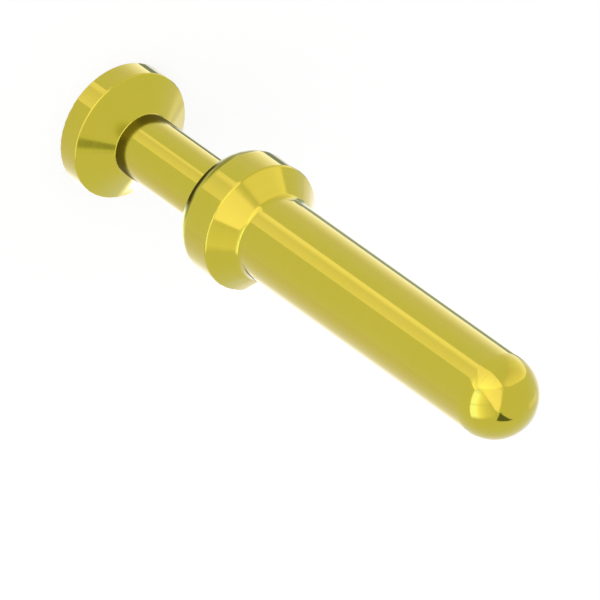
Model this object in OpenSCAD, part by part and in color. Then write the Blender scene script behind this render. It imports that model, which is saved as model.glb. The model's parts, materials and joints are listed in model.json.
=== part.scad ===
// Turned crimp contact of a heavy-duty connector, male form.
// It stands on its rear flange. The axis is Z and the pin's tip points up.
// All sizes are in millimetres and all angles in degrees.

/* [Pin] */
// Diameter of the pin that enters the socket
pin_diameter = 2.5; // [1.6:0.05:4]
// Length of the pin, from the end of the collar's cone to the tip
pin_length = 11.08; // [6:0.01:16]
// Radius of the hollow fillet at the foot of the pin
pin_foot_fillet = 0.25; // [0.05:0.01:0.4]

/* [Collars] */
// Diameter of the rear flange and of the middle collar
collar_diameter = 3.81; // [3.2:0.01:6]
// Length of the flange's straight rim
flange_rim_length = 0.68; // [0.4:0.02:1.5]
// Slope of the flange's front cone, measured from the axis
flange_cone_angle = 60; // [40:1:75]
// Length of the middle collar's rim, with its rounded rear edge
collar_rim_length = 1.52; // [1:0.01:3]
// Radius of the rounded rear edge of the middle collar
collar_rear_round = 0.68; // [0.1:0.01:0.7]
// Slope of the middle collar's front cone, measured from the axis
collar_cone_angle = 45; // [30:1:60]

/* [Crimp barrel] */
// Diameter of the stripped conductor that the barrel takes
conductor_diameter = 0.95; // [0.5:0.05:1.4]
// Clearance around the conductor before crimping, on each side
conductor_clearance = 0.1; // [0.05:0.01:0.2]
// Wall of the barrel around the bore
barrel_wall = 0.365; // [0.25:0.005:0.5]
// Length of the barrel, from the end of the flange's cone to the middle collar
barrel_length = 3.84; // [2:0.02:7]
// How far the full bore runs on into the middle collar
bore_overrun = 0.92; // [0.2:0.02:1.2]
// Included angle of the drill point at the end of the bore
drill_point_angle = 118; // [90:1:140]
// Width of the flat ring that is left on the rear face
rear_land = 0.8; // [0.4:0.02:1]
// Included angle of the lead-in at the rear face
lead_in_angle = 90; // [60:1:120]
// Diameter of the inspection hole through the barrel's wall
inspection_diameter = 0.7; // [0.4:0.05:0.9]
// Distance from the middle collar's rear face back to that hole's centre
inspection_setback = 0.75; // [0.5:0.05:1.5]

/* [Edges] */
// Radius on the front edge of the flange's rim
flange_front_round = 0.06; // [0.02:0.01:0.15]
// Radius on the front edge of the middle collar's rim
collar_front_round = 0.12; // [0.02:0.01:0.2]
// Radius on the rear edge of the flange
rear_round = 0.04; // [0.02:0.01:0.1]
// Radius of the fillets at both ends of the barrel
barrel_fillet = 0.03; // [0.02:0.01:0.15]

/* [Hidden] */
$fn = 96;

// Radii that follow from the sizes above
pin_radius = pin_diameter / 2;
collar_radius = collar_diameter / 2;
bore_radius = conductor_diameter / 2 + conductor_clearance;
barrel_radius = bore_radius + barrel_wall;
lead_in_radius = collar_radius - rear_land;
inspection_radius = inspection_diameter / 2;

// Places along the axis, counted from the rear face
flange_cone_length = (collar_radius - barrel_radius) / tan(flange_cone_angle);
barrel_start = flange_rim_length + flange_cone_length;
collar_rear = barrel_start + barrel_length;
collar_front = collar_rear + collar_rim_length;
collar_cone_length = (collar_radius - pin_radius) / tan(collar_cone_angle);
pin_start = collar_front + collar_cone_length;
pin_end = pin_start + pin_length;
dome_centre = pin_end - pin_radius;
bore_end = collar_rear + bore_overrun;
bore_point = bore_end + bore_radius / tan(drill_point_angle / 2);
lead_in_end = (lead_in_radius - bore_radius) / tan(lead_in_angle / 2);
inspection_place = collar_rear - inspection_setback;

// The collar's rear edge never rounds off more than its own shoulder
shoulder_round = min(collar_rear_round, 0.85 * (collar_radius - barrel_radius));

// Directions in the half section, as radius and height
outward = [1, 0];
inward = [-1, 0];
forward = [0, 1];
backward = [0, -1];
flange_slope = [-sin(flange_cone_angle), cos(flange_cone_angle)];
collar_slope = [-sin(collar_cone_angle), cos(collar_cone_angle)];

// The sliver between a sharp corner and the arc that is tangent to both of its sides
module corner_sliver(corner, side_a, side_b, radius) {
    half_angle = acos(side_a * side_b) / 2;
    reach = radius / tan(half_angle);
    middle = (side_a + side_b) / norm(side_a + side_b);
    centre = corner + middle * radius / sin(half_angle);
    difference() {
        polygon([corner, corner + side_a * reach, centre, corner + side_b * reach]);
        translate(centre) circle(r = radius);
    }
}

// Quarter of a disc that closes the pin's tip
module dome_section() {
    translate([0, dome_centre])
        intersection() {
            circle(r = pin_radius);
            square(2 * pin_radius);
        }
}

// Half section with sharp corners, from the bore round the outside to the pin's tip
module sharp_section() {
    polygon([
        [0, bore_point],
        [bore_radius, bore_end],
        [bore_radius, lead_in_end],
        [lead_in_radius, 0],
        [collar_radius, 0],
        [collar_radius, flange_rim_length],
        [barrel_radius, barrel_start],
        [barrel_radius, collar_rear],
        [collar_radius, collar_rear],
        [collar_radius, collar_front],
        [pin_radius, pin_start],
        [pin_radius, dome_centre],
        [0, dome_centre]
    ]);
}

// Half section of the whole turned piece
module turned_section() {
    difference() {
        union() {
            sharp_section();
            dome_section();
            corner_sliver([barrel_radius, barrel_start], -flange_slope, forward, barrel_fillet);
            corner_sliver([barrel_radius, collar_rear], backward, outward, barrel_fillet);
            corner_sliver([pin_radius, pin_start], -collar_slope, forward, pin_foot_fillet);
        }
        corner_sliver([collar_radius, 0], inward, forward, rear_round);
        corner_sliver([collar_radius, flange_rim_length], backward, flange_slope, flange_front_round);
        corner_sliver([collar_radius, collar_rear], inward, forward, shoulder_round);
        corner_sliver([collar_radius, collar_front], backward, collar_slope, collar_front_round);
    }
}

// Drilled across one wall of the barrel, so that the conductor can be seen in the bore
module inspection_hole() {
    translate([0, 0, inspection_place])
        rotate([-90, 0, 0])
            cylinder(r = inspection_radius, h = 2 * barrel_radius);
}

// The contact, turned from one bar
module crimp_contact() {
    color([0.80, 0.70, 0.24])
        difference() {
            rotate_extrude() turned_section();
            inspection_hole();
        }
}

crimp_contact();
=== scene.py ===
"""A gold-plated, turned crimp contact that stands on its rear flange, seen as in the photograph."""
import functools
import json
import math

import bpy
from mathutils import Matrix, Vector


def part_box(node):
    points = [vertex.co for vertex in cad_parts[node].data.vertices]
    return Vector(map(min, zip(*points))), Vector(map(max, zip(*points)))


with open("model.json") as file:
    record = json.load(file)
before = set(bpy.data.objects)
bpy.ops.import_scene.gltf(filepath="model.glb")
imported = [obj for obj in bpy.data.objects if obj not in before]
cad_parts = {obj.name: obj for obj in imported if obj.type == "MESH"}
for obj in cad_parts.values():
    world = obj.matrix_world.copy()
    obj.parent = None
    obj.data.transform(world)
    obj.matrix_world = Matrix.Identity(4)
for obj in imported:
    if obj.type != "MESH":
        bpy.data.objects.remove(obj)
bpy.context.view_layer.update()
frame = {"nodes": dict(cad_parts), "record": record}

MM = 0.001

# Sizes and places on the contact, in millimetres from the centre of its rear face
mounts = {mount["name"]: mount for mount in frame["record"]["mounts"]}
contact_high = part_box("crimp_contact")[1]
COLLAR_RADIUS = contact_high[0] / MM
TIP = contact_high[2] / MM
PIN_RADIUS = mounts["contact_pin"]["dims"]["r_mm"]
BORE_RADIUS = mounts["wire_bore"]["dims"]["r_mm"]
BARREL_RADIUS = 0.94
BARREL_LENGTH = 3.84
COLLAR_LENGTH = 1.52
FLANGE_FRONT = 0.68
FLANGE_CONE = math.radians(60)
COLLAR_CONE = math.radians(45)
BARREL_START = FLANGE_FRONT + (COLLAR_RADIUS - BARREL_RADIUS) / math.tan(FLANGE_CONE)
COLLAR_REAR = BARREL_START + BARREL_LENGTH
COLLAR_FRONT = COLLAR_REAR + COLLAR_LENGTH
PIN_START = COLLAR_FRONT + (COLLAR_RADIUS - PIN_RADIUS) / math.tan(COLLAR_CONE)
DOME_CENTRE = TIP - PIN_RADIUS

# Radii of the rounded edges and of the fillets
REAR_ROUND = 0.04
FLANGE_ROUND = 0.06
BARREL_FILLET = 0.03
SHOULDER_ROUND = 0.68
COLLAR_ROUND = 0.12
PIN_FILLET = 0.25

# The photograph's view: the angle between the axis and the line to the camera,
# the slope of the axis in the picture, and the picture's scale
AXIS_TO_CAMERA = math.radians(48.12)
AXIS_SLOPE = math.radians(35.48)
PICTURE_SIZE = 600
PIXELS_PER_MM = 36.6
# Where the middle of the axis lies in the picture, in pixels right of and above its centre
MIDDLE_RIGHT = 17.2
MIDDLE_ABOVE = 31.3
MIDDLE_HEIGHT = 9.17
LENS = 1650
SENSOR = 36
CLIP_START = 0.05
CLIP_END = 5.0


# Nodes

def add_node(tree, kind, **settings):
    """A new node with its settings."""
    made = tree.nodes.new(kind)
    for name, value in settings.items():
        setattr(made, name, value)
    return made


def math_node(tree, operation, first, second=None, third=None):
    """A Math node's result, from sockets or plain numbers."""
    made = add_node(tree, "ShaderNodeMath", operation=operation)
    for index, value in enumerate((first, second, third)):
        if value is None:
            continue
        if isinstance(value, (int, float)):
            made.inputs[index].default_value = value
        else:
            tree.links.new(value, made.inputs[index])
    return made.outputs[0]


def vector_node(tree, operation, first, second=None):
    """A Vector Math node, from a vector socket and another socket or plain vector."""
    made = add_node(tree, "ShaderNodeVectorMath", operation=operation)
    tree.links.new(first, made.inputs[0])
    if isinstance(second, tuple):
        made.inputs[1].default_value = second
    elif second is not None:
        tree.links.new(second, made.inputs[1])
    return made


def ramp_value(tree, value, from_min, from_max, to_min, to_max, smooth=True):
    """A value mapped from one range to another and kept inside it."""
    made = add_node(tree, "ShaderNodeMapRange")
    made.interpolation_type = "SMOOTHSTEP" if smooth else "LINEAR"
    tree.links.new(value, made.inputs["Value"])
    made.inputs["From Min"].default_value = from_min
    made.inputs["From Max"].default_value = from_max
    made.inputs["To Min"].default_value = to_min
    made.inputs["To Max"].default_value = to_max
    return made.outputs["Result"]


def mix_colour(tree, factor, first, second):
    """A blend of two colours, each a socket or a plain colour."""
    made = add_node(tree, "ShaderNodeMix", data_type="RGBA")
    tree.links.new(factor, made.inputs["Factor"])
    for socket, value in ((made.inputs[6], first), (made.inputs[7], second)):
        if isinstance(value, tuple):
            socket.default_value = value
        else:
            tree.links.new(value, socket)
    return made.outputs[2]


def line_noise(tree, along, pitch, detail, roughness):
    """Noise along one coordinate, with its pitch in metres."""
    made = add_node(tree, "ShaderNodeTexNoise", noise_dimensions="1D")
    made.inputs["Scale"].default_value = 1 / pitch
    made.inputs["Detail"].default_value = detail
    made.inputs["Roughness"].default_value = roughness
    tree.links.new(along, made.inputs["W"])
    return made.outputs[0]


def space_noise(tree, place, scale, detail):
    """Noise in space, with its waves to the metre."""
    made = add_node(tree, "ShaderNodeTexNoise", noise_dimensions="3D")
    made.inputs["Scale"].default_value = scale
    made.inputs["Detail"].default_value = detail
    tree.links.new(place, made.inputs["Vector"])
    return made.outputs[0]


def bump(tree, height, depth, normal):
    """A normal that a height bends, with the height's depth in metres."""
    made = add_node(tree, "ShaderNodeBump")
    made.inputs["Strength"].default_value = 1.0
    made.inputs["Distance"].default_value = depth
    tree.links.new(height, made.inputs["Height"])
    tree.links.new(normal, made.inputs["Normal"])
    return made.outputs[0]


def mix_shader(tree, share, first, second):
    """A blend of two shaders."""
    made = add_node(tree, "ShaderNodeMixShader")
    for index, value in enumerate((share, first, second)):
        tree.links.new(value, made.inputs[index])
    return made.outputs[0]


def clear_behind(tree, surface):
    """A surface that is clear from behind."""
    sides = add_node(tree, "ShaderNodeNewGeometry")
    clear = add_node(tree, "ShaderNodeBsdfTransparent")
    return mix_shader(tree, sides.outputs["Backfacing"], surface, clear.outputs[0])


def seen_directly(tree):
    """1 for rays from the camera, a mirror or a glass, and 0 for the light that falls on things."""
    rays = add_node(tree, "ShaderNodeLightPath")
    straight = math_node(tree, "MAXIMUM", rays.outputs["Is Camera Ray"], rays.outputs["Is Glossy Ray"])
    return math_node(tree, "MAXIMUM", straight, rays.outputs["Is Transmission Ray"])


def bare_material(name):
    """A new material with nothing but its output."""
    material = bpy.data.materials.new(name)
    material.use_nodes = True
    tree = material.node_tree
    tree.nodes.remove(tree.nodes["Principled BSDF"])
    return material


# Gold plating

GOLD = (0.505, 0.445, 0.031, 1.0)
GOLD_WARM = (0.530, 0.452, 0.036, 1.0)
GOLD_BORE = (0.420, 0.290, 0.070, 1.0)
PLATING = {
    "Metallic": 1.0,
    "Anisotropic": 0.4,
    "Anisotropic Rotation": 0.25,
    "Coat Weight": 1.0,
    "Coat IOR": 1.25,
    "Coat Roughness": 0.05,
}

# Half way through the barrel's wall
BORE_EDGE = (BORE_RADIUS + BARREL_RADIUS) / 2

# The tool's way grows with the height and towards the axis, so on cylinders, cones and faces alike
TRAVEL_OUTWARD = -0.6
FEED_PITCH = 0.045 * MM
FEED_SHARE = 0.12
GRAIN_PITCH = 0.070 * MM
RING_PITCH = 0.35 * MM
RING_SHARE = 0.5
MARK_DEPTH = 0.00018 * MM
DENT_DEPTH = 0.0012 * MM
DENTS_PER_METRE = 900
PATCHES_PER_METRE = 260
# The tones between which the gold turns from plain to warm
PLAIN_TONE = 0.5
WARM_TONE = 1.0
# Roughness of the polished metal, and what rings and the bore add to it
POLISH = 0.05
RING_DULLNESS = 0.07
BORE_DULLNESS = 0.15
# How straight out from the axis a normal points where the surface is turned
TURNED_SHARE = 0.8


def rounded_edge(height, radius, cone):
    """The arc from a cylinder to the cone after it: its start, its end and its change of slope."""
    reach = radius * math.tan(cone / 2)
    return height - reach, height + reach * math.cos(cone), math.sin(cone)


def fillet(height, radius, cone):
    """The arc from a cone to the cylinder after it, in the same form."""
    reach = radius * math.tan(cone / 2)
    return height - reach * math.cos(cone), height + reach, -math.sin(cone)


# All arcs of the outside from the rear face, where the surface faces down, to the tip
ARCS = [
    (0.0, REAR_ROUND, 1.0),
    rounded_edge(FLANGE_FRONT, FLANGE_ROUND, FLANGE_CONE),
    fillet(BARREL_START, BARREL_FILLET, FLANGE_CONE),
    (COLLAR_REAR - BARREL_FILLET, COLLAR_REAR, -1.0),
    (COLLAR_REAR, COLLAR_REAR + SHOULDER_ROUND, 1.0),
    rounded_edge(COLLAR_FRONT, COLLAR_ROUND, COLLAR_CONE),
    fillet(PIN_START, PIN_FILLET, COLLAR_CONE),
    (DOME_CENTRE, TIP, 1.0),
]


def turned_normal(tree, facing, flat, height):
    """The outside's normal as turning leaves it, from the profile's arcs and straight out from the axis.

    The mesh's own normals jump along its seam and vary on its narrow rounds. The bore's walls and
    the wall of the cross hole keep their own.
    """
    rise = -1.0
    for low, high, change in ARCS:
        step = ramp_value(tree, height, low * MM, high * MM, 0.0, change, smooth=False)
        rise = math_node(tree, "ADD", step, rise)
    fall = math_node(tree, "MULTIPLY", rise, -1.0)
    level_square = math_node(tree, "MULTIPLY_ADD", fall, rise, 1.0)
    level = math_node(tree, "SQRT", math_node(tree, "MAXIMUM", level_square, 0.0))
    outward = vector_node(tree, "NORMALIZE", flat).outputs["Vector"]
    straight = vector_node(tree, "SCALE", outward)
    tree.links.new(level, straight.inputs["Scale"])
    upright = add_node(tree, "ShaderNodeCombineXYZ")
    tree.links.new(rise, upright.inputs["Z"])
    turned = vector_node(tree, "ADD", straight.outputs["Vector"], upright.outputs[0]).outputs["Vector"]

    own_level = vector_node(tree, "MULTIPLY", facing, (1, 1, 0)).outputs["Vector"]
    own_length = vector_node(tree, "LENGTH", own_level).outputs["Value"]
    along = vector_node(tree, "DOT_PRODUCT", own_level, outward).outputs["Value"]
    least = math_node(tree, "MULTIPLY", own_length, TURNED_SHARE)
    is_turned = math_node(tree, "GREATER_THAN", along, least)
    either = add_node(tree, "ShaderNodeMix", data_type="VECTOR")
    tree.links.new(is_turned, either.inputs["Factor"])
    tree.links.new(facing, either.inputs[4])
    tree.links.new(turned, either.inputs[5])
    to_world = add_node(
        tree,
        "ShaderNodeVectorTransform",
        vector_type="NORMAL",
        convert_from="OBJECT",
        convert_to="WORLD",
    )
    tree.links.new(either.outputs[1], to_world.inputs[0])
    return to_world.outputs[0]


def gold_plating():
    """Polished plating over a turned surface, with fine rings, soft dents and a thinly plated bore."""
    material = bpy.data.materials.new("gold_plating_turned")
    material.use_nodes = True
    tree = material.node_tree
    shader = tree.nodes["Principled BSDF"]

    coordinates = add_node(tree, "ShaderNodeTexCoord")
    place = coordinates.outputs["Object"]
    split = add_node(tree, "ShaderNodeSeparateXYZ")
    tree.links.new(place, split.inputs[0])
    height = split.outputs["Z"]
    flat = add_node(tree, "ShaderNodeCombineXYZ")
    tree.links.new(split.outputs["X"], flat.inputs["X"])
    tree.links.new(split.outputs["Y"], flat.inputs["Y"])
    radius = vector_node(tree, "LENGTH", flat.outputs[0]).outputs["Value"]
    travel = math_node(tree, "MULTIPLY_ADD", radius, TRAVEL_OUTWARD, height)

    # Turning marks, as a regular feed with an irregular grain, and soft dents of the polished surface
    feed = math_node(tree, "SINE", math_node(tree, "MULTIPLY", travel, 2 * math.pi / FEED_PITCH))
    grain = line_noise(tree, travel, GRAIN_PITCH, detail=3, roughness=0.6)
    marks = math_node(tree, "MULTIPLY_ADD", feed, FEED_SHARE, grain)
    dents = space_noise(tree, place, DENTS_PER_METRE, detail=2)
    normal = turned_normal(tree, coordinates.outputs["Normal"], flat.outputs[0], height)
    normal = bump(tree, marks, MARK_DEPTH, normal)
    normal = bump(tree, dents, DENT_DEPTH, normal)
    tree.links.new(normal, shader.inputs["Normal"])

    # Tone: slow patches and faint rings
    patches = space_noise(tree, place, PATCHES_PER_METRE, detail=3)
    rings = line_noise(tree, travel, RING_PITCH, detail=4, roughness=0.7)
    tone = math_node(tree, "MULTIPLY_ADD", rings, RING_SHARE, patches)
    warmth = ramp_value(tree, tone, PLAIN_TONE, WARM_TONE, 0.0, 1.0)
    colour = mix_colour(tree, warmth, GOLD, GOLD_WARM)

    # The plating thins out inside the bore
    in_bore = math_node(
        tree,
        "MULTIPLY",
        math_node(tree, "LESS_THAN", radius, BORE_EDGE * MM),
        math_node(tree, "LESS_THAN", height, PIN_START * MM),
    )
    colour = mix_colour(tree, in_bore, colour, GOLD_BORE)
    tree.links.new(colour, shader.inputs["Base Color"])

    # Roughness: polished, with duller rings and a dull bore
    polish = math_node(tree, "MULTIPLY_ADD", rings, RING_DULLNESS, POLISH)
    dull = math_node(tree, "MULTIPLY_ADD", in_bore, BORE_DULLNESS, polish)
    tree.links.new(dull, shader.inputs["Roughness"])

    around = add_node(tree, "ShaderNodeTangent", direction_type="RADIAL", axis="Z")
    tree.links.new(around.outputs[0], shader.inputs["Tangent"])
    for socket, value in PLATING.items():
        shader.inputs[socket].default_value = value
    return material


contact = frame["nodes"]["crimp_contact"]
plating = gold_plating()
for slot in contact.material_slots:
    slot.material = plating


# Floor

FLOOR_RADIUS = 0.6
FLOOR_SIDES = 96
FLOOR_DROP = 0.005 * MM
FLOOR_COLOUR = (0.93, 0.93, 0.93, 1.0)
FLOOR_WHITE_SHARE = 0.8


def floor_material():
    """A white table that keeps a faint shadow and is clear from below."""
    material = bare_material("white_table")
    tree = material.node_tree
    matt = add_node(tree, "ShaderNodeBsdfDiffuse")
    matt.inputs["Color"].default_value = FLOOR_COLOUR
    white = add_node(tree, "ShaderNodeEmission")
    white.inputs["Strength"].default_value = 1.0
    share = math_node(tree, "MULTIPLY", seen_directly(tree), FLOOR_WHITE_SHARE)
    table = mix_shader(tree, share, matt.outputs[0], white.outputs[0])
    tree.links.new(clear_behind(tree, table), tree.nodes["Material Output"].inputs["Surface"])
    return material


def stage_mesh(name, points, faces, material):
    """A stage object from points in metres."""
    mesh = bpy.data.meshes.new(name)
    mesh.from_pydata(points, [], faces)
    mesh.update()
    made = bpy.data.objects.new(name, mesh)
    bpy.context.scene.collection.objects.link(made)
    mesh.materials.append(material)
    return made


floor_ring = []
for step in range(FLOOR_SIDES):
    turn = 2 * math.pi * step / FLOOR_SIDES
    floor_ring.append((FLOOR_RADIUS * math.cos(turn), FLOOR_RADIUS * math.sin(turn), -FLOOR_DROP))
stage_mesh("floor", floor_ring, [tuple(range(FLOOR_SIDES))], floor_material())


# Light cards, which the metal mirrors and the camera doesn't see
# Their sizes are in millimetres and degrees; azimuth 0 points at the camera's side and grows towards +X

CARD_HEIGHT = 0.01
FAR = 600
# The end of the ring of floor that the pin mirrors; the tip mirrors the floor from there on
TIP_REACH = 21
# The elevation, from the tip, of the far edge of the floor
HORIZON = -math.degrees(math.asin(DOME_CENTRE / FAR))

# Tints of the lights, the flags and the sheets
EDGE = (1.0, 0.92, 1.15)
WIDE = (1.0, 0.935, 1.08)
WARM = (1.0, 0.90, 1.18)
BRIGHT = (1.0, 1.0, 1.25)
PALE = (1.0, 0.96, 0.96)
PEACH = (1.0, 0.925, 1.03)
DAY_GLOW = (0.78, 1.02, 2.20)
SKY_GLOW = (0.98, 0.95, 1.05)
LOW_GLOW = (1.0, 1.05, 2.8)
COOL = (0.84, 1.0, 0.85)
OLIVE = (1.0, 1.0, 0.75)
BROWN = (1.0, 0.86, 0.30)
SHADE_GREEN = (1.0, 1.05, 1.0)
STREAK_GREEN = (1.0, 1.08, 0.80)
# Shadows are brown up to the first strength and have their own tint from the second
BROWN_LEVEL = 0.30
TINT_LEVEL = 0.34

# Each round body's radius with the ring of floor that it mirrors, and the slant of the ring's start
FLANGE_START = 1.92
FLANGE_END = 2.68
BARREL_END = 6.9
COLLAR_END = 9.3
FLANGE_RING = (COLLAR_RADIUS, FLANGE_START, FLANGE_END, 0)
BARREL_RING = (BARREL_RADIUS, FLANGE_END, BARREL_END, 0)
COLLAR_RING = (COLLAR_RADIUS, BARREL_END, COLLAR_END, 0)
PIN_RING = (PIN_RADIUS, COLLAR_END, TIP_REACH, 0)
REAR_RINGS = (FLANGE_RING, BARREL_RING, COLLAR_RING)
ALL_RINGS = (*REAR_RINGS, PIN_RING)
# The softbox stops short of the collar on the barrel, and starts with a slant on the collar's round
SHORT_BARREL_RING = (BARREL_RADIUS, FLANGE_END, 6.6, 0)
SLANTED_COLLAR_RING = (COLLAR_RADIUS, 6.4, COLLAR_END, -4.6)
REAR_STRIP_RINGS = (FLANGE_RING, SHORT_BARREL_RING, SLANTED_COLLAR_RING)
STRIP_RINGS = (*REAR_STRIP_RINGS, PIN_RING)
STRIP_ROWS = 4
RING_STEP = 4


def floor_point(azimuth, distance):
    """A point just above the floor, by its azimuth and its distance from the axis."""
    turn = math.radians(azimuth)
    return Vector((distance * math.sin(turn), -distance * math.cos(turn), CARD_HEIGHT)) * MM


def mirrored_point(side, body_radius, distance):
    """The floor point that a round body mirrors to the camera at a side place from -1 to 1 across it."""
    facing = math.asin(side)
    across = body_radius * math.sin(facing)
    reach = math.sqrt(distance ** 2 - across ** 2) - body_radius * math.cos(facing)
    x = across + reach * math.sin(2 * facing)
    y = -body_radius * math.cos(facing) - reach * math.cos(2 * facing)
    return Vector((x, y, CARD_HEIGHT)) * MM


def sky_point(azimuth, elevation, distance, height):
    """A point by its azimuth and elevation, as seen from a height on the axis."""
    turn = math.radians(azimuth)
    rise = math.radians(elevation)
    flat = distance * math.cos(rise)
    lift = distance * math.sin(rise)
    return Vector((flat * math.sin(turn), -flat * math.cos(turn), height + lift)) * MM


def card_material(name, one_sided):
    """Light in the colours that are kept at the cards' corners."""
    material = bare_material(name)
    tree = material.node_tree
    light = add_node(tree, "ShaderNodeEmission")
    kept = add_node(tree, "ShaderNodeAttribute", attribute_name="light")
    tree.links.new(kept.outputs["Color"], light.inputs["Color"])
    surface = light.outputs[0]
    if one_sided:
        surface = clear_behind(tree, surface)
    tree.links.new(surface, tree.nodes["Material Output"].inputs["Surface"])
    return material


def light_cards(name, cards, one_sided=False):
    """One stage object of flat cards; each card is a list of corners with their colours."""
    points = []
    faces = []
    colours = []
    for card in cards:
        first = len(points)
        for point, colour in card:
            points.append(point)
            colours.append(colour)
        faces.append(tuple(range(first, len(points))))
    made = stage_mesh(name, points, faces, card_material(name, one_sided))
    attribute = made.data.attributes.new("light", "FLOAT_COLOR", "POINT")
    for index, colour in enumerate(colours):
        attribute.data[index].color = (*colour, 1.0)
    made.visible_camera = False
    made.visible_diffuse = False
    made.visible_transmission = False
    made.visible_volume_scatter = False
    made.visible_shadow = False


def shade(tint, level):
    """A card's colour from its tint and its strength."""
    return tuple(part * level for part in tint)


def shadow(tint, level):
    """A shaded card's colour, which turns brown where it is darkest."""
    share = (level - BROWN_LEVEL) / (TINT_LEVEL - BROWN_LEVEL)
    share = min(max(share, 0.0), 1.0)
    mixed = tuple(dark + (light - dark) * share for dark, light in zip(BROWN, tint))
    return shade(mixed, level)


def glow(tint, level):
    """The plain white of the studio with a glow added to it."""
    return tuple(plain + part * level for plain, part in zip(PALE, tint))


def strip_point(side, ring, share):
    """The floor point that a body mirrors at a side place, at a share of the way through its ring."""
    body_radius, near, far, slant = ring
    start = near + slant * side
    return mirrored_point(side, body_radius, start + (far - start) * share)


def strip(sides, levels, tint, rings=ALL_RINGS):
    """Cards that show as one straight strip along round bodies, between two side places."""
    made = []
    from_side, to_side = sides
    from_colour = shade(tint, levels[0])
    to_colour = shade(tint, levels[1])
    for ring in rings:
        for row in range(STRIP_ROWS):
            start = row / STRIP_ROWS
            end = (row + 1) / STRIP_ROWS
            made.append([
                (strip_point(from_side, ring, start), from_colour),
                (strip_point(from_side, ring, end), from_colour),
                (strip_point(to_side, ring, end), to_colour),
                (strip_point(to_side, ring, start), to_colour),
            ])
    return made


def floor_card(*corners, tint):
    """A card on the floor; a corner is an azimuth, a distance, a strength and perhaps its own tint."""
    made = []
    for azimuth, distance, level, *own_tint in corners:
        colour = shade(own_tint[0] if own_tint else tint, level)
        made.append((floor_point(azimuth, distance), colour))
    return made


def sky_card(*corners, tint, distance=FAR, height=DOME_CENTRE):
    """A card in the air; a corner is an azimuth, an elevation, a strength and perhaps its own tint."""
    made = []
    for azimuth, elevation, level, *own_tint in corners:
        colour = shade(own_tint[0] if own_tint else tint, level)
        made.append((sky_point(azimuth, elevation, distance, height), colour))
    return made


def lane(make_card, one_side, other_side, tint):
    """Cards in a row between two lines of corners."""
    made = []
    pairs = list(zip(one_side, other_side))
    for (one, other), (next_one, next_other) in zip(pairs, pairs[1:]):
        made.append(make_card(one, next_one, next_other, other, tint=tint))
    return made


def standing_window(make_card, make_corner, columns, rows):
    """Cards in the air between neighbouring columns and rows, with a corner where each two meet."""
    made = []
    for low, high in zip(rows, rows[1:]):
        made += lane(
            make_card,
            [make_corner(column, low) for column in columns],
            [make_corner(column, high) for column in columns],
            PALE,
        )
    return made


def floor_glow(columns, near, far):
    """Cards on the floor between two distances, from azimuths with their colours."""
    return lane(
        floor_card,
        [(azimuth, near, 1.0, colour) for azimuth, colour in columns],
        [(azimuth, far, 1.0, colour) for azimuth, colour in columns],
        PALE,
    )


def ring_corner(azimuth, radius, height, tint, level):
    """A corner around the axis with its shaded colour."""
    point = floor_point(azimuth, radius)
    point.z = height * MM
    return point, shadow(tint, level)


def ring_card(low, high, levels, tint):
    """Cards around the axis between two rings, each a radius and a height.

    They face outwards where the second ring is higher, and down where it is level and wider.
    Each level is an azimuth with the strengths there on the first and on the second ring.
    """
    made = []
    for (start, start_low, start_high), (end, end_low, end_high) in zip(levels, levels[1:]):
        steps = math.ceil((end - start) / RING_STEP)
        for step in range(steps):
            corners = []
            for share, (radius, height), from_level, to_level in (
                (step / steps, low, start_low, end_low),
                ((step + 1) / steps, low, start_low, end_low),
                ((step + 1) / steps, high, start_high, end_high),
                (step / steps, high, start_high, end_high),
            ):
                azimuth = start + (end - start) * share
                level = from_level + (to_level - from_level) * share
                corners.append(ring_corner(azimuth, radius, height, tint, level))
            made.append(corners)
    return made


# The long softbox: a bright edge and a wide strip along the contact
softbox = strip((-0.333, -0.265), (1.62, 1.64), EDGE, rings=(PIN_RING,))
softbox += strip((-0.265, -0.20), (1.54, 1.24), WIDE, rings=(PIN_RING,))
softbox += strip((-0.335, -0.275), (1.48, 1.50), EDGE, rings=REAR_STRIP_RINGS)
softbox += strip((-0.275, -0.235), (1.42, 1.22), WIDE, rings=REAR_STRIP_RINGS)
softbox += strip((-0.235, -0.20), (1.22, 1.23), WIDE, rings=REAR_STRIP_RINGS)
softbox += strip((-0.20, -0.13), (1.25, 1.30), WIDE, rings=STRIP_RINGS)
softbox += strip((-0.13, 0.012), (1.30, 1.42), WIDE, rings=STRIP_RINGS)
# Both run on over the floor to the horizon, which the tip mirrors
softbox += lane(
    floor_card,
    [
        (-39.5, TIP_REACH, 1.58),
        (-36.7, 32, 1.58),
        (-37.5, 59, 1.60),
        (-38.5, 115, 1.62),
        (-38.7, FAR, 1.62),
    ],
    [
        (-28.5, TIP_REACH, 1.60),
        (-18.5, 32, 1.72),
        (-7, 59, 1.78),
        (1.5, 115, 1.92, BRIGHT),
        (8, FAR, 2.05, BRIGHT),
    ],
    WARM,
)
softbox += lane(
    floor_card,
    [(-28.5, TIP_REACH, 1.28), (-18.5, 32, 1.26), (-7, 59, 1.42), (1.5, 115, 1.72), (8, FAR, 1.85)],
    [(1, TIP_REACH, 1.40), (5.6, 32, 1.50), (13, 59, 2.15), (16.5, 115, 2.05), (17.5, FAR, 1.70)],
    WIDE,
)
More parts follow.
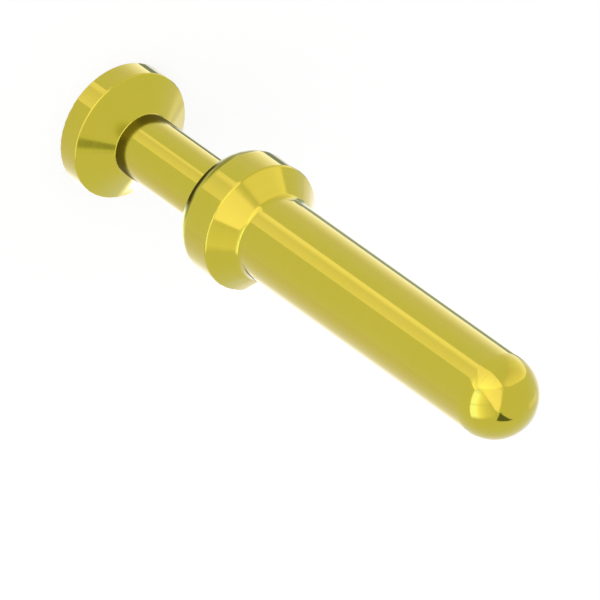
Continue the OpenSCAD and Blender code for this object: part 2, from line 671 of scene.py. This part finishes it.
# The lozenge in the air above them, with the places where its cards meet
LOZENGE_FOLD = (-16, 35)
LOZENGE_END = (-40, 44)
LOZENGE_FLANK = (-28, 46)
LOZENGE_SIDE = (28, 41)
LOZENGE_TOP = (42, 67)
softbox += lane(
    sky_card,
    [
        (-38.7, HORIZON, 1.62),
        (-38.7, 12, 1.68),
        (-39, 24.5, 1.76),
        (-39.5, 37, 1.84),
        (*LOZENGE_END, 1.15),
    ],
    [
        (8, HORIZON, 2.05, BRIGHT),
        (4, 12, 2.1, BRIGHT),
        (-5, 24.5, 1.94, BRIGHT),
        (-12.3, 31.5, 1.93, PALE),
        (*LOZENGE_FOLD, 1.92, PALE),
    ],
    WARM,
)
softbox += lane(
    sky_card,
    [
        (8, HORIZON, 1.75, PALE),
        (4, 12, 1.80, PALE),
        (-5, 24.5, 1.78, PALE),
        (-12.3, 31.5, 1.74),
        (*LOZENGE_FOLD, 1.72),
        (*LOZENGE_FLANK, 1.66),
    ],
    [
        (9, HORIZON, 1.72, PALE),
        (12, 15, 1.80),
        (19, 29, 1.86),
        (25, 37, 1.86),
        (*LOZENGE_SIDE, 1.86),
        (*LOZENGE_TOP, 1.76),
    ],
    WARM,
)
# Its soft flank, and its far end
faded_end = (*LOZENGE_END, 1.0, PALE)
softbox.append(sky_card((*LOZENGE_FOLD, 1.72), faded_end, (*LOZENGE_FLANK, 1.66), tint=WARM))
softbox.append(sky_card((*LOZENGE_FLANK, 1.66), faded_end, (*LOZENGE_TOP, 1.3), tint=WARM))
softbox.append(sky_card(
    (*LOZENGE_SIDE, 1.86),
    (52, 52.5, 1.84),
    (75, 59, 1.70),
    (*LOZENGE_TOP, 1.76),
    tint=WARM,
))
# The glow along the arch beside it, which falls off steeply inside its edge and then slowly
ARCH_EDGE = [
    (-42, 41.5, 1.08),
    (-51, 44, 1.40),
    (-57, 44.5, 1.43),
    (-70, 44, 1.43),
    (-87.5, 36, 1.48),
    (-103, 24, 1.56),
    (-114, 12, 1.63),
    (-121, HORIZON, 1.69),
]
ARCH_MIDDLE = [
    (-43, 34, 1.06),
    (-51, 36, 1.28),
    (-57, 36, 1.36),
    (-69, 36, 1.38),
    (-84, 29, 1.37),
    (-98, 17, 1.33),
    (-106, 7, 1.33),
    (-111, HORIZON, 1.35),
]
ARCH_INSIDE = [
    (-45, 24, 1.0),
    (-51, 25, 1.0),
    (-55, 23, 1.0),
    (-58, 21, 1.0),
    (-63, 14, 1.0),
    (-67, 8, 1.0),
    (-71, 3, 1.0),
    (-74, HORIZON, 1.0),
]
softbox += lane(sky_card, ARCH_EDGE, ARCH_MIDDLE, PEACH)
softbox += lane(sky_card, ARCH_MIDDLE, ARCH_INSIDE, PEACH)
# The arch's leg, which stands on the floor and runs over it to the end of the pin's ring
LEG_EDGE = [
    (-134, TIP_REACH, 1.55),
    (-129.5, 32, 1.62),
    (-125, 74, 1.66),
    (-123, 200, 1.68),
    (-121, FAR, 1.69),
]
LEG_MIDDLE = [
    (-113, TIP_REACH, 1.26),
    (-111, 32, 1.28),
    (-108, 74, 1.29),
    (-109, 200, 1.32),
    (-111, FAR, 1.35),
]
LEG_INSIDE = [
    (-97, TIP_REACH, 1.05),
    (-95, 32, 1.03),
    (-84, 74, 1.0),
    (-77, 200, 1.0),
    (-74, FAR, 1.0),
]
softbox += lane(floor_card, LEG_EDGE, LEG_MIDDLE, PALE)
softbox += lane(floor_card, LEG_MIDDLE, LEG_INSIDE, PALE)
light_cards("softbox", softbox)

# Two bright windows over the horizon, side by side, that fade upwards, with their glow on the floor
# Each column is an azimuth, its lean for each degree of elevation and its share of the glow;
# each row is an elevation with its glow and tint
WINDOW_COLUMNS = [
    (6, 0, 0.40),
    (14, 0, 0.52),
    (17.5, 0, 0.75),
    (23, 0, 1.0),
    (46, -0.25, 1.0),
    (49.5, -0.25, 0.68),
    (53, -0.25, 1.0),
    (76, 0, 1.0),
    (85, 0, 0.0),
]
HORIZON_GLOW = 1.12
WINDOW_ROWS = [
    (HORIZON, HORIZON_GLOW, DAY_GLOW),
    (8, 1.10, DAY_GLOW),
    (13, 0.82, SKY_GLOW),
    (20, 0.54, SKY_GLOW),
    (32, 0.29, SKY_GLOW),
    (52, 0.05, SKY_GLOW),
]
WINDOW_DISTANCE = FAR + 20
WINDOW_NEAR = 140
# The columns beside the softbox's floor
WINDOW_FLOOR_COLUMNS = WINDOW_COLUMNS[2:]


def window_corner(column, row):
    """A corner of the two windows."""
    azimuth, lean, share = column
    elevation, level, tint = row
    return azimuth + lean * elevation, elevation, 1.0, glow(tint, level * share)


windows = standing_window(
    functools.partial(sky_card, distance=WINDOW_DISTANCE),
    window_corner,
    WINDOW_COLUMNS,
    WINDOW_ROWS,
)
windows += floor_glow(
    [(azimuth, glow(DAY_GLOW, HORIZON_GLOW * share)) for azimuth, lean, share in WINDOW_FLOOR_COLUMNS],
    WINDOW_NEAR,
    FAR,
)
light_cards("windows", windows)

# The pale back of the studio, which whitens both edges of every round body
# Each edge is a row of side places with their strengths
UPPER_EDGE = [(-0.66, 1.0), (-0.75, 1.10), (-0.82, 1.30), (-0.915, 1.70)]
LOWER_EDGE = [(0.60, 1.0), (0.80, 1.02), (0.90, 1.10), (0.95, 1.32), (1.0, 1.52)]
pale = []
for edge in (UPPER_EDGE, LOWER_EDGE):
    for (from_side, from_level), (to_side, to_level) in zip(edge, edge[1:]):
        pale += strip((from_side, to_side), (from_level, to_level), PALE)
# A soft streak in the air and the floor behind the contact, which the far sides of the cones mirror
pale += lane(
    sky_card,
    [(-146, -3, 1.0), (-154, -3, 1.27), (-162, -3, 1.0)],
    [(-150, 31, 1.0), (-160, 29, 1.27), (-170, 27, 1.0)],
    PALE,
)
pale += lane(
    floor_card,
    [(-138, 30, 1.0), (-134, 60, 1.0), (-132, 120, 1.0)],
    [(-152, 30, 1.18), (-147, 60, 1.16), (-143, 120, 1.06)],
    PALE,
)
pale += lane(
    floor_card,
    [
        (-152, 4, 1.15),
        (-152, 14, 1.30),
        (-152, 21, 1.28),
        (-152, 30, 1.18),
        (-147, 60, 1.16),
        (-143, 120, 1.06),
    ],
    [
        (-176, 4, 1.25),
        (-176, 14, 1.35),
        (-176, 21, 1.28),
        (-176, 30, 1.18),
        (-176, 60, 1.16),
        (-176, 120, 1.06),
    ],
    PALE,
)
pale += lane(
    floor_card,
    [(146, 21.5, 1.12), (148, 30, 1.10), (148, 60, 1.0)],
    [(174, 21.5, 1.46), (174, 30, 1.22), (174, 60, 1.0)],
    PALE,
)
# A low window behind the contact, as a glow on the floor and a card that stands on it and fades upwards
# Each column is an azimuth with its glow and tint; each row is an elevation and its share of the glow
LOW_WINDOW_COLUMNS = [
    (156, 0.0, PALE),
    (158, 0.3, PALE),
    (160, 0.9, PALE),
    (161.5, 1.8, LOW_GLOW),
    (164, 2.6, LOW_GLOW),
    (182, 2.6, LOW_GLOW),
]
LOW_WINDOW_ROWS = [(0, 1.0), (3.8, 1.0), (8, 0.0)]
LOW_WINDOW_NEAR = 2.75
LOW_WINDOW_FAR = 18


def low_window_corner(column, row):
    """A corner of the low window."""
    azimuth, level, tint = column
    elevation, share = row
    return azimuth, elevation, 1.0, glow(tint, level * share)


pale += floor_glow(
    [(azimuth, glow(tint, level)) for azimuth, level, tint in LOW_WINDOW_COLUMNS],
    LOW_WINDOW_NEAR,
    LOW_WINDOW_FAR,
)
pale += standing_window(
    functools.partial(sky_card, distance=LOW_WINDOW_FAR, height=CARD_HEIGHT),
    low_window_corner,
    LOW_WINDOW_COLUMNS,
    LOW_WINDOW_ROWS,
)
light_cards("pale_back", pale)

# Dark flags: one that edges the upper side of every round body and fades out on the tip,
# one over the right shoulder that the tip mirrors, and a soft streak that the flange's cone mirrors
FLAG_SIDES = (-0.92, -0.968)
FLAG_DISTANCE = 50
STREAK_DISTANCE = 200
STREAK_PATH = [(76.2, 65.4, 1.0), (82.0, 62.7, 0.36), (89.6, 58.8, 0.45), (95.0, 55.8, 1.0)]
STREAK_TOP = [(83.9, 69.4, 1.0), (89.7, 66.7, 0.36), (97.3, 62.8, 0.45), (102.7, 59.8, 1.0)]
flags = strip(FLAG_SIDES, (0.33, 0.33), COOL, rings=REAR_RINGS)
flags += strip(FLAG_SIDES, (0.48, 0.48), COOL, rings=(PIN_RING,))
flags.append(floor_card(
    (-134, TIP_REACH, 0.48),
    (-151, TIP_REACH, 0.48),
    (-144, 29, 0.75),
    (-140, 29, 0.75),
    tint=COOL,
))
flags.append(sky_card(
    (77, 62, 0.2),
    (100, 43.5, 0.2),
    (122, 49, 0.2),
    (150, 50, 0.2),
    tint=COOL,
    distance=FLAG_DISTANCE,
))
flags += lane(
    functools.partial(sky_card, distance=STREAK_DISTANCE, height=FLANGE_FRONT),
    STREAK_PATH,
    STREAK_TOP,
    STREAK_GREEN,
)
light_cards("flags", flags)

# Painted shade: one-sided dark sheets close to the metal, so that each recess mirrors shade there
# First the flange's cone, which the barrel's foot mirrors, with a fade beyond the cone's edge
FOOT_GAP = 0.036
SHEET_GAP = 0.006
SHEET_INSET = 0.04
FADE_OUTWARD = 0.13
FADE_DOWN = 0.05
SHADE_RADIUS = 1.5
CONE_FALL = (BARREL_START - FLANGE_FRONT) / (COLLAR_RADIUS - BARREL_RADIUS)


def flange_ring(radius):
    """A ring just above the flange's cone."""
    return radius, FLANGE_FRONT + (COLLAR_RADIUS - radius) * CONE_FALL + SHEET_GAP


SHEET_EDGE = flange_ring(COLLAR_RADIUS - SHEET_INSET)
SHEET_MIDDLE = flange_ring(SHADE_RADIUS)
SHEET_FOOT = flange_ring(BARREL_RADIUS + FOOT_GAP)
# Each azimuth with the shade at the sheet's edge, at its middle and at the barrel's foot
FLANGE_SHADES = [
    (-180, 0.60, 0.30, 0.15),
    (-125, 0.42, 0.25, 0.15),
    (-104, 0.55, 0.19, 0.15),
    (-75, 0.21, 0.18, 0.15),
    (-42, 0.20, 0.18, 0.15),
    (-26, 0.30, 0.285, 0.27),
    (6, 0.30, 0.285, 0.27),
    (20, 0.20, 0.18, 0.15),
    (75, 0.21, 0.18, 0.15),
    (100, 0.55, 0.19, 0.15),
    (125, 0.90, 0.25, 0.15),
    (180, 1.0, 0.32, 0.15),
]
recess_shade_sheets = ring_card(
    SHEET_EDGE,
    SHEET_MIDDLE,
    [(azimuth, edge, middle) for azimuth, edge, middle, foot in FLANGE_SHADES],
    PALE,
)
recess_shade_sheets += ring_card(
    SHEET_MIDDLE,
    SHEET_FOOT,
    [(azimuth, middle, foot) for azimuth, edge, middle, foot in FLANGE_SHADES],
    PALE,
)
recess_shade_sheets += ring_card(
    (COLLAR_RADIUS + FADE_OUTWARD, FLANGE_FRONT - FADE_DOWN),
    SHEET_EDGE,
    [
        (-180, 0.60, 0.60),
        (-125, 0.50, 0.42),
        (-104, 1.0, 0.55),
        (-75, 1.0, 0.22),
        (75, 1.0, 0.22),
        (100, 1.0, 0.55),
        (180, 1.0, 1.0),
    ],
    OLIVE,
)
# Painted shade on two parts of the collar's cone, which the pin's foot mirrors
CONE_INSET = 0.07
CONE_LIFT = 0.09
CONE_EDGE = (COLLAR_RADIUS - CONE_INSET, COLLAR_FRONT + CONE_LIFT)
CONE_FOOT = (PIN_RADIUS + CONE_LIFT, PIN_START - CONE_INSET)
recess_shade_sheets += ring_card(
    CONE_EDGE,
    CONE_FOOT,
    [(78, 1.0, 1.0), (90, 0.34, 0.34), (135, 0.34, 0.34), (150, 1.0, 1.0)],
    PALE,
)
recess_shade_sheets += ring_card(
    CONE_EDGE,
    CONE_FOOT,
    [(-150, 1.1, 1.1), (-104, 1.1, 1.1), (-96, 0.42, 0.42), (-84, 0.42, 0.42), (-78, 1.0, 1.0)],
    COOL,
)
# An umbrella of painted shade around the barrel, which only rays that come down from the collar's round
# meet
# It is plain white with soft spots of painted shade, and two of painted light, each with its azimuth and
# radius, its reach in both, and what it adds; a spot that is close to the barrel runs on up to it
UMBRELLA_TOP = 5.9
UMBRELLA_GAP = 0.01
UMBRELLA_RADII = [
    BARREL_RADIUS + UMBRELLA_GAP, 1.2, 1.4, 1.55, 1.7, 1.85, 2.0, 2.2,
    2.45, 2.75, 3.1, 3.6, 4.2, 4.8, 5.4, 5.85,
]
UMBRELLA_STEP = 5
SHADE_AND_GLOW_SPOTS = [
    (12, 1.80, 26, 0.58, -0.93),
    (-22, 1.66, 18, 0.38, -0.88),
    (34, 2.75, 20, 0.65, -0.60),
    (-40, 4.6, 30, 2.1, -0.66),
    (-44, 2.4, 14, 0.55, -0.30),
    (-98, 4.0, 18, 1.5, -0.52),
    (-70, 2.4, 16, 0.65, -0.44),
    (60, 1.7, 24, 0.55, 0.75),
    (95, 2.4, 32, 1.4, 0.60),
]
DARKEST_SPOT = 0.08
NEAR_BARREL = 1.82


def spot_level(azimuth, radius):
    """The umbrella's painted shade and light at a place, as a strength."""
    level = 1.0
    for middle, spot_radius, reach, spot_reach, change in SHADE_AND_GLOW_SPOTS:
        away = radius - spot_radius
        if spot_radius < NEAR_BARREL:
            away = max(away, 0.0)
        fall = ((azimuth - middle) / reach) ** 4 + (away / spot_reach) ** 2
        level += change * math.exp(-fall)
    return max(level, DARKEST_SPOT)


def umbrella_corner(azimuth, radius):
    """A corner of the umbrella with its colour."""
    level = spot_level(azimuth, radius)
    return ring_corner(azimuth, radius, UMBRELLA_TOP - radius, SHADE_GREEN, level)


for inner, outer in zip(UMBRELLA_RADII, UMBRELLA_RADII[1:]):
    for azimuth in range(-180, 180, UMBRELLA_STEP):
        recess_shade_sheets.append([
            umbrella_corner(azimuth, outer),
            umbrella_corner(azimuth + UMBRELLA_STEP, outer),
            umbrella_corner(azimuth + UMBRELLA_STEP, inner),
            umbrella_corner(azimuth, inner),
        ])
# Rings of painted shade below the collar that face down, which only the flange's cone meets, as radii
# with shades
UNDER_GAP = 0.06
UNDER_COLLAR = COLLAR_REAR - UNDER_GAP
UNDER_RINGS = [(BARREL_RADIUS + UNDER_GAP, 0.50), (1.75, 0.58), (2.08, 1.0)]
for (inner, inner_level), (outer, outer_level) in zip(UNDER_RINGS, UNDER_RINGS[1:]):
    recess_shade_sheets += ring_card(
        (inner, UNDER_COLLAR),
        (outer, UNDER_COLLAR),
        [(-180, inner_level, outer_level), (180, inner_level, outer_level)],
        OLIVE,
    )
light_cards("recess_shade_sheets", recess_shade_sheets, one_sided=True)


# World and lamp

SKY_COLOUR = (1.0, 1.0, 1.0, 1.0)
# The sky's strength where it lights things, and where it is seen or mirrored
SKY_LIGHT = 0.90
SKY_SEEN = 1.0
KEY_SIZE = 0.35
KEY_ENERGY = 0.8
KEY_PLACE = (0.08, -0.25, 0.42)

scene = bpy.context.scene
world = bpy.data.worlds.new("studio")
world.use_nodes = True
scene.world = world
sky = world.node_tree
around_us = sky.nodes["Background"]
around_us.inputs["Color"].default_value = SKY_COLOUR
sky_level = ramp_value(sky, seen_directly(sky), 0.0, 1.0, SKY_LIGHT, SKY_SEEN, smooth=False)
sky.links.new(sky_level, around_us.inputs["Strength"])

key_data = bpy.data.lights.new("key", "AREA")
key_data.shape = "SQUARE"
key_data.size = KEY_SIZE
key_data.energy = KEY_ENERGY
key = bpy.data.objects.new("key", key_data)
scene.collection.objects.link(key)
key.location = KEY_PLACE
key.rotation_mode = "QUATERNION"
key.rotation_quaternion = (-key.location).to_track_quat("-Z", "Y")
key.visible_camera = False
key.visible_glossy = False


# Camera

to_camera = Vector((0, -math.sin(AXIS_TO_CAMERA), math.cos(AXIS_TO_CAMERA)))
level_right = Vector((1, 0, 0))
level_up = to_camera.cross(level_right)
roll = math.pi / 2 + AXIS_SLOPE
picture_right = level_right * math.cos(roll) + level_up * math.sin(roll)
picture_up = level_up * math.cos(roll) - level_right * math.sin(roll)
aim = Vector((0, 0, MIDDLE_HEIGHT * MM))
aim -= picture_right * (MIDDLE_RIGHT / PIXELS_PER_MM * MM)
aim -= picture_up * (MIDDLE_ABOVE / PIXELS_PER_MM * MM)
camera_distance = PICTURE_SIZE / PIXELS_PER_MM * MM * LENS / SENSOR
camera_data = bpy.data.cameras.new("camera")
camera_data.lens = LENS
camera_data.sensor_width = SENSOR
camera_data.clip_start = CLIP_START
camera_data.clip_end = CLIP_END
camera = bpy.data.objects.new("camera", camera_data)
scene.collection.objects.link(camera)
turned = Matrix((picture_right, picture_up, to_camera)).transposed()
camera.matrix_world = Matrix.Translation(aim + to_camera * camera_distance) @ turned.to_4x4()
scene.camera = camera

scene.view_settings.view_transform = "Standard"
